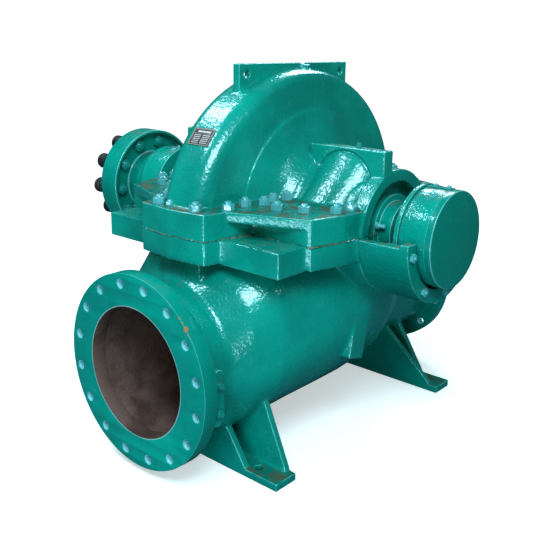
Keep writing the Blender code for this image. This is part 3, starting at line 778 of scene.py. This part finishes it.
def turnedPiece(name, corners, side, paint, node, body="body", count=96):
    points, wornAndGlinting = roundedProfile(corners)
    shape = bmesh.new()
    # pale paint on the rounded edges: rubbed paint, and a painted highlight
    wearAndGlintLayer = shape.verts.layers.float.new("edgeWearAndGlint")
    rows = []
    for point, value in zip(points, wornAndGlinting):
        row = []
        for i in range(1 if point[1] <= 0 else count):
            angle = 2 * math.pi * i / count
            vertex = shape.verts.new((side * point[0] + shift, point[1] * math.cos(angle),
                                      shaftHeight + point[1] * math.sin(angle)))
            vertex[wearAndGlintLayer] = value
            row.append(vertex)
        rows.append(row)
    pairs = list(zip(rows, rows[1:]))
    if corners[0][1] > 0:    # the profile is a closed ring, not one that starts on the axis
        pairs.append((rows[-1], rows[0]))
    for near, far in pairs:
        for i in range(count):
            j = (i + 1) % count
            ring = [near[i % len(near)], near[j % len(near)], far[j % len(far)], far[i % len(far)]]
            ring = list(dict.fromkeys(ring))
            if len(ring) > 2:
                shape.faces.new(ring)
    bmesh.ops.recalc_face_normals(shape, faces=shape.faces)
    mesh = bpy.data.meshes.new(name)
    shape.to_mesh(mesh)
    shape.free()
    piece = newObject(name, mesh)
    finishPiece(piece, paints[paint], body, angle=35)
    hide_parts(node)


# which way each end looks along the shaft, and the radius of the shaft's hole in its cover
shaftEnds = {
    "free_end": {"side": 1, "hole": 0.0},
    "drive_end": {"side": -1, "hole": 0.0395},
}
housing = {
    "radius": 0.130,
    "ring": 0.136,
    "start": 0.455,
    "end": 0.543,
    "bore": 0.0385,
    "mouth": (0.006, 0.066, 0.072),      # depth and radii of the countersunk bore
    "groove": (0.012, 0.017, 0.004),     # where it begins and ends behind the ring, and its depth
    "coverEnd": 0.561,
    "coverEdge": 0.003,
}


def bearingHousing(end, side):
    start, radius, ring, far = (housing[key] for key in ("start", "radius", "ring", "end"))
    (depth, inner, outer), (first, last, groove) = housing["mouth"], housing["groove"]
    corners = [
        (far, radius, 0.0006), (start + last, radius, 0.0015), (start + last, radius - groove, 0.0005),
        (start + first, radius - groove, 0.0005), (start + first, ring, 0.0015), (start, ring, 0.002),
        (start, outer, 0.002), (start + depth, inner, 0.002), (start + depth, housing["bore"], 0.0005),
        (far, housing["bore"], 0.0005),
    ]
    turnedPiece("bearingHousing_" + end, corners, side, "roughEnamel", "bearing_housing_" + end)


def endCover(end, side, hole):
    near, far, radius = housing["end"] + splitGap, housing["coverEnd"], housing["radius"]
    rounding = 0.001 if hole else 0
    corners = [(far, hole, rounding), (far, radius, housing["coverEdge"]), (near, radius, 0.0006),
               (near, hole, rounding)]
    # the end covers get the darker paint: painted shade
    turnedPiece("endCover_" + end, corners, side, "shadedCoverEnamel", "end_cover_" + end)


gland = {"near": 0.3423, "far": 0.370, "nose": 0.408, "inner": 0.0515, "neck": 0.076, "rim": 0.094}


def glandRing(end, side):
    near, far, nose, inner, neck, rim = gland.values()
    corners = [(nose, inner, 0.001), (nose, neck, 0.003), (far, neck, 0.002), (far, rim, 0.0015),
               (near, rim, 0.001), (near, inner, 0.001)]
    turnedPiece("gland_ring_" + end, corners, side, "smoothEnamel", "gland_" + end)


coupling = {"radius": 0.178, "near": 0.619, "far": 0.697, "recess": 0.169, "web": 0.646, "hub": 0.101,
            "hubEnd": 0.567, "bore": 0.0383}


def couplingHalf(values):
    radius, near, far, recess, web, hub, hubEnd, bore = values.values()
    corners = [(far, bore, 0.001), (far, radius, 0.003), (near, radius, 0.003), (near, recess, 0.0015),
               (web, recess, 0.004), (web, hub, 0.006), (hubEnd, hub, 0.002), (hubEnd, bore, 0.001)]
    turnedPiece("couplingHalf", corners, -1, "smoothEnamel", "coupling_half", body="rotor")


for end, values in shaftEnds.items():
    bearingHousing(end, values["side"])
    endCover(end, values["side"], values["hole"])
    glandRing(end, values["side"])
couplingHalf(coupling)
print("turned pieces made")


def runTree(name, tree, mesh, values, body, replaces=(), angle=32):
    # gives the mesh to a Geometry Nodes tree and keeps what it makes as a plain mesh
    piece = newObject(name, mesh)
    step = piece.modifiers.new("build", "NODES")
    step.node_group = tree
    for item in tree.interface.items_tree:
        if item.item_type == "SOCKET" and item.in_out == "INPUT" and item.name in values:
            step[item.identifier] = values[item.name]
    applyModifiers(piece)
    finishPiece(piece, None, body, angle=angle)
    if replaces:
        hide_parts(*replaces)


def pointCloud(name, rows):
    # rows: (place in the pump's own frame, direction it points, turn about that direction, size)
    mesh = bpy.data.meshes.new(name)
    mesh.from_pydata([(x + shift, y, z) for (x, y, z), *_ in rows], [], [])
    aims = [number for row in rows for number in row[1]]
    mesh.attributes.new("aim", "FLOAT_VECTOR", "POINT").data.foreach_set("vector", aims)
    mesh.attributes.new("turn", "FLOAT", "POINT").data.foreach_set("value", [row[2] for row in rows])
    mesh.attributes.new("size", "FLOAT", "POINT").data.foreach_set("value", [row[3] for row in rows])
    return mesh


def alongZ(tree, height):
    return addNode(tree, "ShaderNodeCombineXYZ", {"Z": height}).outputs[0]


def lifted(tree, shape, height):
    inputs = {"Geometry": shape, "Translation": alongZ(tree, height)}
    return addNode(tree, "GeometryNodeTransform", inputs).outputs[0]


def dressed(tree, shape, material):
    return addNode(tree, "GeometryNodeSetMaterial", {"Geometry": shape, "Material": material}).outputs[0]


def joined(tree, kind, inputs, socket, **values):
    # one node that takes several shapes in the same socket
    made = addNode(tree, kind, **values)
    for part in inputs:
        feed(tree, made, {socket: part})
    return made.outputs[0]


def onPoints(tree, given, shape, material):
    # puts the shape on every point, turned by the points' values, and ends in real geometry
    def readValue(name, kind):
        made = addNode(tree, "GeometryNodeInputNamedAttribute", {"Name": name}, data_type=kind)
        return next(socket for socket in made.outputs if socket.enabled and socket.name == "Attribute")

    turn = addNode(tree, "FunctionNodeEulerToRotation", {0: alongZ(tree, readValue("turn", "FLOAT"))})
    align = addNode(tree, "FunctionNodeAlignRotationToVector",
                    {"Rotation": turn.outputs[0], "Vector": readValue("aim", "FLOAT_VECTOR")}, axis="Z")
    place = addNode(tree, "GeometryNodeInstanceOnPoints", {
        "Points": given["Geometry"], "Instance": shape, "Rotation": align.outputs[0],
        "Scale": readValue("size", "FLOAT")})
    real = addNode(tree, "GeometryNodeRealizeInstances", {0: place.outputs[0]})
    return dressed(tree, real.outputs[0], material)


def nutTree():
    # a chamfered hexagon with a stud end that stands out of it
    tree, given, result = newTree("GeometryNodeTree", "hexNutOnStud", {
        "Geometry": "Geometry", "Corner Radius": 0.0142, "Height": 0.0155, "Chamfer": 0.0026,
        "Stud Radius": 0.008, "Stud Height": 0.0055, "Material": "Material"}, {"Geometry": "Geometry"})
    height, corner, studRadius, studHeight = (
        given[label] for label in ("Height", "Corner Radius", "Stud Radius", "Stud Height"))
    hexagon = addNode(tree, "GeometryNodeMeshCylinder", {"Vertices": 6, "Radius": corner, "Depth": height})
    block = lifted(tree, hexagon.outputs["Mesh"], times(tree, height, 0.5))
    # the turned chamfer: a cone frustum that cuts the six upper corners
    depth = times(tree, height, 1.2)
    top = minus(tree, corner, given["Chamfer"])
    cone = addNode(tree, "GeometryNodeMeshCone", {
        "Vertices": 36, "Radius Top": top, "Radius Bottom": timesPlus(tree, depth, 1.7, top), "Depth": depth})
    mould = lifted(tree, cone.outputs["Mesh"], times(tree, height, -0.2))
    nut = joined(tree, "GeometryNodeMeshBoolean", (block, mould), 1, operation="INTERSECT", solver="EXACT")
    sunk = 0.0005            # how far the stud's pieces reach into each other
    stud = addNode(tree, "GeometryNodeMeshCylinder", {
        "Vertices": 18, "Radius": studRadius, "Depth": studHeight})
    studAt = minus(tree, timesPlus(tree, studHeight, 0.5, height), sunk)
    tip = addNode(tree, "GeometryNodeMeshCone", {
        "Vertices": 18, "Radius Top": times(tree, studRadius, 0.72), "Radius Bottom": studRadius,
        "Depth": 0.002})
    tipAt = mathNode(tree, "ADD", height, minus(tree, studHeight, sunk))
    parts = (nut, lifted(tree, stud.outputs["Mesh"], studAt), lifted(tree, tip.outputs["Mesh"], tipAt))
    both = joined(tree, "GeometryNodeJoinGeometry", parts, 0)
    feed(tree, result, {"Geometry": onPoints(tree, given, both, given["Material"])})
    return tree


hexNut = nutTree()
nutLabels = ("Corner Radius", "Height", "Chamfer", "Stud Radius", "Stud Height")


def placeNuts(name, rows, sizes, paint="nutEnamel", body="body"):
    # sizes: corner radius, height, chamfer, radius and height of the stud's end
    values = dict(zip(nutLabels, sizes), Material=paints[paint])
    runTree(name, hexNut, pointCloud(name, rows), values, body)


flangeNuts = {
    # place, how far one face is turned from the view in degrees, size
    "nose": [(0.069, -0.4545, 8, 1.05)],
    "side": [(0.116, -0.385, -5, 1.0), (0.110, -0.316, -3, 1.0), (0.134, -0.268, -17, 1.0),
             (0.123, -0.219, -5, 1.0), (0.203, -0.294, 17, 1.0), (0.136, -0.176, 25, 1.0),
             (0.272, -0.268, 8, 1.0), (0.334, -0.215, 5, 1.0), (0.338, -0.162, -3, 1.0)],
    "jack": (-0.030, -0.452, -15, 0.66),
    "view": 49.6,            # bearing of the view at the nuts
    "sizes": (0.0166, 0.0165, 0.0028, 0.0092, 0.005),
}


def splitFlangeNuts(values):
    def nut(x, y, offset, size):
        turn = math.radians((offset - values["view"] - 30) % 60)
        return (x, y, flangeTop), (0, 0, 1), turn, size

    rows = []
    for x, y, offset, size in values["nose"] + values["side"]:
        for sideX in (1, -1):
            for sideY in (1, -1):
                strayed = 0 if sideX == sideY == 1 else 40 * x * sideX + 11 * sideY
                rows.append(nut(x * sideX, y * sideY, offset + strayed, size))
    x, y, offset, size = values["jack"]
    rows += [nut(x, y, offset, size), nut(-x, -y, offset, size)]
    placeNuts("splitFlangeNuts", rows, values["sizes"])


splitFlangeNuts(flangeNuts)


def beadTree():
    # an uneven bead of sealant along a closed line
    tree, given, result = newTree("GeometryNodeTree", "sealantBead", {
        "Geometry": "Geometry", "Width": 0.0022, "Thinnest": 0.2, "Patch Length": 0.03, "Seed": 3.0,
        "Material": "Material"}, {"Geometry": "Geometry"})
    line = addNode(tree, "GeometryNodeMeshToCurve", {"Mesh": given["Geometry"]})
    steps = addNode(tree, "GeometryNodeResampleCurve", {"Curve": line.outputs[0], "Length": 0.005},
                    mode="LENGTH")
    scale = mathNode(tree, "DIVIDE", 1.0, given["Patch Length"])
    patches = addNode(tree, "ShaderNodeTexNoise", {"W": given["Seed"], "Scale": scale, "Detail": 3.0},
                      noise_dimensions="4D")
    spread = ramp(tree, patches.outputs[0], 0.40, 0.62, given["Thinnest"], smooth=False)
    width = addNode(tree, "GeometryNodeSetCurveRadius", {
        "Curve": steps.outputs[0], "Radius": times(tree, spread, given["Width"])})
    section = addNode(tree, "GeometryNodeCurvePrimitiveCircle", {"Resolution": 8, "Radius": 1.0})
    radius = addNode(tree, "GeometryNodeInputRadius")
    sweep = addNode(tree, "GeometryNodeCurveToMesh", {
        "Curve": width.outputs[0], "Profile Curve": section.outputs[0], "Scale": radius.outputs[0]})
    feed(tree, result, {"Geometry": dressed(tree, sweep.outputs[0], given["Material"])})
    return tree


seam = {
    "front": [(0.119, -0.474), (0.130, -0.405), (0.150, -0.327), (0.342, -0.3245), (0.366, -0.222),
              (0.372, -0.155), (0.3755, 0.0)],
    "rear": [(0.372, 0.155), (0.366, 0.222), (0.340, 0.323), (0.148, 0.328), (0.130, 0.405), (0.119, 0.474)],
    "nose": 0.488,
    "bead": {"Width": 0.0019, "Thinnest": 0.25, "Patch Length": 0.04, "Seed": 3.0},
    "brown": (0.42, 0.20, 0.10, 1),
    "green": (0.03, 0.16, 0.12, 1),
    "pale": (0.55, 0.60, 0.55, 1),
}


def sealantMaterial(values):
    material, tree, shader, coords = newMaterial("driedSealant")
    patch = noise(tree, coords["Object"], 60.0, 3.0, 0.6)
    colour = mixColour(tree, ramp(tree, patch, 0.42, 0.55), values["brown"], values["green"])
    colour = mixColour(tree, ramp(tree, patch, 0.60, 0.66), colour, values["pale"])
    feed(tree, shader, {"Base Color": colour, "Roughness": 0.5})
    return material


def splitSeam(values):
    right = [(0.0, -values["nose"])] + values["front"] + values["rear"] + [(0.0, values["nose"])]
    left = [(-x, y) for x, y in right[-2:0:-1]]
    places = [(x + shift, y, shaftHeight + splitGap / 2) for x, y in right + left]
    mesh = bpy.data.meshes.new("splitSeam")
    mesh.from_pydata(places, [(i, (i + 1) % len(places)) for i in range(len(places))], [])
    settings = {**values["bead"], "Material": sealantMaterial(values)}
    runTree("splitSeam", beadTree(), mesh, settings, "body", angle=60)


splitSeam(seam)

bracketBolt = {
    "angles": (189, 236, 279, 324),      # bearings of the heads on the raised lip of a bracket
    "ring": 0.155,
    "along": 0.526,
    "sizes": (0.0125, 0.008, 0.002, 0.005, 0.0015),
}
glandStud = {
    "along": 0.370,
    "across": 0.0855,
    "above": 0.022,
    "sizes": (0.0115, 0.012, 0.002, 0.0065, 0.018),
}


def bracketBolts(values):
    rows = []
    for side in (1, -1):
        for angle in values["angles"]:
            a = math.radians(angle)
            y, z = values["ring"] * math.cos(a), values["ring"] * math.sin(a)
            place = (side * values["along"], y, shaftHeight + z)
            rows.append((place, (side, 0, 0), 0.4 + angle, 1.0))
    placeNuts("bracketBolts", rows, values["sizes"])


def glandStuds(values):
    rows = []
    for side in (1, -1):
        for sideY in (1, -1):
            place = (side * values["along"], sideY * values["across"], shaftHeight + values["above"])
            rows.append((place, (side, 0, 0), 0.2, 0.9))
    placeNuts("glandStuds", rows, values["sizes"])


bracketBolts(bracketBolt)
glandStuds(glandStud)
print("nuts and bolts placed")

housingTop = {
    # cap: near, far, half width. screws: places along the shaft. plug: along, across
    "free_end": {"cap": (0.470, 0.5425, 0.013), "screws": (0.492, 0.530), "plug": (0.514, -0.050)},
    "drive_end": {"cap": None, "screws": (0.497,), "plug": (0.478, -0.040)},
}
topSizes = {
    # the first two as placeNuts takes them
    "screws": (0.0068, 0.006, 0.0012, 0.0030, 0.0015),
    "plugs": (0.0125, 0.0022, 0.0006, 0.0075, 0.0065),
    "capHeight": 0.006,
    "capEdge": 0.0012,
}


def oilingCap(end, way, cap):
    near, far, half = cap
    shape = bmesh.new()
    bmesh.ops.create_cube(shape, size=1.0)
    for vertex in shape.verts:
        x, y, z = vertex.co
        vertex.co = (shift + way * ((near + far) / 2 + x * (far - near)), y * 2 * half,
                     shaftHeight + housing["radius"] - 0.0005 + z * topSizes["capHeight"])
    bmesh.ops.bevel(shape, geom=shape.edges, offset=topSizes["capEdge"], segments=2, affect="EDGES")
    bmesh.ops.recalc_face_normals(shape, faces=shape.faces)
    mesh = bpy.data.meshes.new("oilingCap_" + end)
    shape.to_mesh(mesh)
    shape.free()
    finishPiece(newObject("oilingCap_" + end, mesh), paints["smoothEnamel"], angle=40)


def housingTops(tops):
    # oiling cap, its small screws and a hexagon plug with a washer on each bearing housing
    screws, plugs = [], []
    for end, values in tops.items():
        way, onCap = shaftEnds[end]["side"], 0.002 if values["cap"] else 0
        for x in values["screws"]:
            place = (way * x, 0, shaftHeight + housing["radius"] + onCap)
            screws.append((place, (0, 0, 1), 0.3 + x, 1.0))
        x, y = values["plug"]
        lean = math.asin(y / housing["radius"])
        place = (way * x, y, shaftHeight + (housing["radius"] - 0.0006) * math.cos(lean))
        plugs.append((place, (0, math.sin(lean), math.cos(lean)), 0.4, 1.0))
        if values["cap"]:
            oilingCap(end, way, values["cap"])
    placeNuts("housingScrews", screws, topSizes["screws"])
    placeNuts("housingPlugs", plugs, topSizes["plugs"])


housingTops(housingTop)
print("housing tops dressed")

nameplate = {
    "x": (-0.034, 0.0405),   # its two ends
    # shares of the plate's length and width, from its lower left corner
    "frame": ((0.06, 0.94), (0.07, 0.93)),
    "title": ((0.22, 0.86), (0.74, 0.86)),
    "rows": ((0.12, 0.90), (0.12, 0.68)),
    "gap": (0.46, 0.54),
    "rowCount": 9.0,
    "rowShare": 0.46,
    "ground": (0.050, 0.026, 0.021, 1),
    "rim": (0.34, 0.21, 0.17, 1),
    "raised": (0.66, 0.52, 0.47, 1),
}


def plateMaterial(values):
    # a blank nameplate: pale raised rows and a pale rim on a dark ground, with nothing written on it
    material, tree, shader, coords = newMaterial("blankNameplate")
    along, across = attributeOf(tree, "plateAlong"), attributeOf(tree, "plateAcross")

    def band(value, limits):
        return times(tree, mathNode(tree, "GREATER_THAN", value, limits[0]),
                     mathNode(tree, "LESS_THAN", value, limits[1]))

    def field(key):
        return times(tree, band(along, values[key][0]), band(across, values[key][1]))

    inner = field("frame")
    step = mathNode(tree, "FRACT", times(tree, across, values["rowCount"]))
    rows = times(tree, field("rows"), mathNode(tree, "LESS_THAN", step, values["rowShare"]))
    rows = times(tree, rows, minus(tree, 1.0, band(along, values["gap"])))
    raised = times(tree, mathNode(tree, "ADD", field("title"), rows, clamp=True), inner)
    raised = mathNode(tree, "MAXIMUM", raised, minus(tree, 1.0, inner))
    dirt = noise(tree, coords["Object"], 420.0, 3.0, 0.6)
    shown = times(tree, raised, ramp(tree, dirt, 0.30, 0.55, 0.25, 1.0))
    pale = mixColour(tree, inner, values["rim"], values["raised"])
    feed(tree, shader, {"Base Color": mixColour(tree, shown, values["ground"], pale), "Roughness": 0.42,
                        "Metallic": 0.2})
    bumpInto(tree, raised, shader, 0.4, 0.0004)
    return material


def bentNameplate(values):
    # taken from the frame's own plate: its two long sides give how far along and across each point is
    piece = copyOfNode("blankNameplate", "nameplate")
    shape = bmesh.new()
    shape.from_mesh(piece.data)
    bmesh.ops.subdivide_edges(shape, edges=shape.edges, cuts=2, use_grid_fill=True)
    shape.to_mesh(piece.data)
    shape.free()
    points = readPoints(piece.data)
    low, high = values["x"]
    angle = np.degrees(np.arctan2(points[:, 2] - shaftHeight, points[:, 1]))
    start, end = angle.max(), angle.min()
    addValues(piece.data, "plateAlong", (points[:, 0] - shift - low) / (high - low))
    addValues(piece.data, "plateAcross", (start - angle) / (start - end))
    finishPiece(piece, plateMaterial(values), angle=30)
    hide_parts("nameplate")


bentNameplate(nameplate)
print("nameplate bent")

pins = {
    "count": 10,
    "start": 78,             # bearing of the first pin
    "pitch": 0.138,
    "bushRadius": 0.026,
    "far": 0.761,
    "ribs": 5,
    "nutSizes": (0.020, 0.0155, 0.003, 0.012, 0.006),
}


def bushTree():
    # a rubber bush of round ribs in a row along Z, on a plain core
    tree, given, result = newTree("GeometryNodeTree", "ribbedBush", {
        "Geometry": "Geometry", "Bush Radius": 0.026, "Bush Length": 0.064, "Ribs": 5, "Rib Depth": 0.0045,
        "Rubber": "Material"}, {"Geometry": "Geometry"})
    length, ribs, ribDepth = given["Bush Length"], given["Ribs"], given["Rib Depth"]
    coreRadius = minus(tree, given["Bush Radius"], ribDepth)
    ring = addNode(tree, "GeometryNodeCurvePrimitiveCircle", {"Resolution": 28, "Radius": coreRadius})
    bead = addNode(tree, "GeometryNodeCurvePrimitiveCircle", {"Resolution": 10, "Radius": ribDepth})
    sweep = addNode(tree, "GeometryNodeCurveToMesh", {
        "Curve": ring.outputs[0], "Profile Curve": bead.outputs[0]})
    pitch = mathNode(tree, "DIVIDE", minus(tree, length, 0.010), minus(tree, ribs, 1.0))
    row = addNode(tree, "GeometryNodeMeshLine", {
        "Count": ribs, "Start Location": (0, 0, 0.005), "Offset": alongZ(tree, pitch)}, mode="OFFSET")
    rings = addNode(tree, "GeometryNodeInstanceOnPoints", {
        "Points": row.outputs[0], "Instance": sweep.outputs[0]})
    core = addNode(tree, "GeometryNodeMeshCylinder", {
        "Vertices": 28, "Radius": coreRadius, "Depth": minus(tree, length, 0.002)})
    parts = (lifted(tree, core.outputs["Mesh"], times(tree, length, 0.5)), rings.outputs[0])
    both = joined(tree, "GeometryNodeJoinGeometry", parts, 0)
    feed(tree, result, {"Geometry": onPoints(tree, given, both, given["Rubber"])})
    return tree


def couplingPins(values):
    bushes, nuts = [], []
    for i in range(values["count"]):
        a = math.radians(values["start"] + 360 / values["count"] * i)
        y, z = values["pitch"] * math.cos(a), shaftHeight + values["pitch"] * math.sin(a)
        bushes.append(((-coupling["far"] - splitGap, y, z), (-1, 0, 0), 0.0, 1.0))
        nuts.append(((-coupling["web"] + splitGap, y, z), (1, 0, 0), 0.35 * i, 1.0))
    sizes = {"Bush Radius": values["bushRadius"], "Bush Length": values["far"] - coupling["far"] - splitGap,
             "Ribs": values["ribs"], "Rubber": bushRubber}
    names = ["coupling_pin_%02d" % i for i in range(1, values["count"] + 1)]
    cloud = pointCloud("couplingBushes", bushes)
    runTree("couplingBushes", bushTree(), cloud, sizes, "rotor", names)
    placeNuts("couplingNuts", nuts, values["nutSizes"], "pinNutEnamel", "rotor")


couplingPins(pins)
print("coupling pins placed")

# These nodes keep their own shape and only get a finish.
for name in ("shaft", "shaft_sleeve_free_end", "shaft_sleeve_drive_end"):
    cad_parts[name].data.materials[0] = shaftSteel
for name in ("vent_plug", "gauge_plug_1", "gauge_plug_2"):
    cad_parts[name].data.materials[0] = paints["pinNutEnamel"]

ground = {
    "half": 14.0,
    "below": 0.0006,
    "fade": (1.1, 3.2),      # distances between which the floor fades into the white surround
    "seen": (1.0, 0.92, 0.88, 1),
    "mirrored": (0.07, 0.19, 0.22, 1),
    "glow": 0.42,
}


def paleFloor(values):
    half = values["half"]
    mesh = bpy.data.meshes.new("paleFloor")
    mesh.from_pydata([(-half, -half, 0), (half, -half, 0), (half, half, 0), (-half, half, 0)], [],
                     [(0, 1, 2, 3)])
    floor = newObject("paleFloor", mesh)
    floor.location.z = -values["below"]
    material, tree, shader, coords = newMaterial("paleFloorPaint")
    seen = addNode(tree, "ShaderNodeLightPath").outputs["Is Camera Ray"]
    away = addNode(tree, "ShaderNodeVectorMath", {0: coords["Object"]}, operation="LENGTH").outputs["Value"]
    feed(tree, shader, {
        "Base Color": mixColour(tree, seen, values["mirrored"], values["seen"]), "Roughness": 0.9,
        "Emission Color": (1, 1, 1, 1), "Emission Strength": times(tree, seen, values["glow"]),
        "Specular IOR Level": 0.1, "Alpha": ramp(tree, away, *values["fade"], 1.0, 0.0)})
    mesh.materials.append(material)


paleFloor(ground)
print("floor laid")
